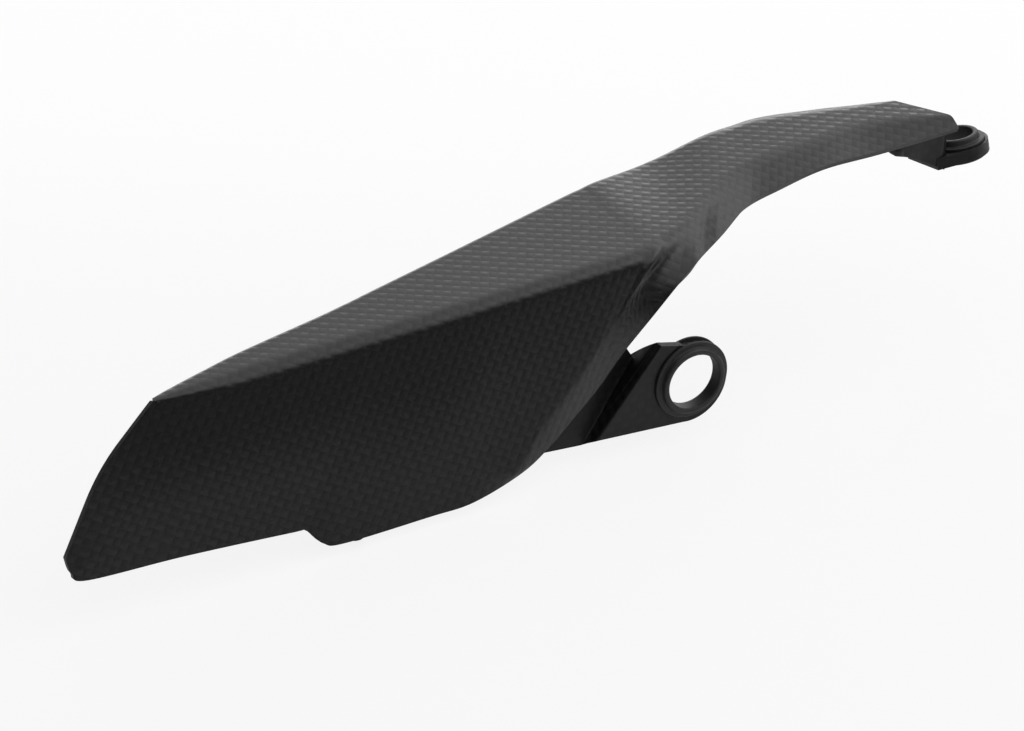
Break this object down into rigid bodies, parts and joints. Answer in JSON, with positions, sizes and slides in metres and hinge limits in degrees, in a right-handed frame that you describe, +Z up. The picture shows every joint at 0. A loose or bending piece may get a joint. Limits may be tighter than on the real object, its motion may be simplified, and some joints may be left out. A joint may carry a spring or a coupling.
{
  "type": "motorcycle chain guard",
  "caption": "Folded carbon laminate guard that covers a motorcycle's chain run, with a rubber-lined side eyelet and a rubber-lined eyelet under its narrow tip.",
  "frame": {"origin": "middle of the lower eyelet's bore", "axes": "+X runs along the guard to its narrow tip, -Y is outboard along the lower eyelet's bore, +Z is up"},
  "size_m": [0.2577, 0.0533, 0.0508],
  "materials": {
    "carbon_weave": "plain-weave carbon laminate under a satin clear coat",
    "carbon_plain": "bare moulded carbon laminate, matt",
    "rubber": "moulded black rubber"
  },
  "bodies": {
    "root": {"cover_shell": "carbon_weave", "lower_lug": "carbon_plain", "tip_bracket": "carbon_plain", "lower_grommet": "rubber", "tip_grommet": "rubber", "foot_stud": "rubber"}
  },
  "joints": []
}
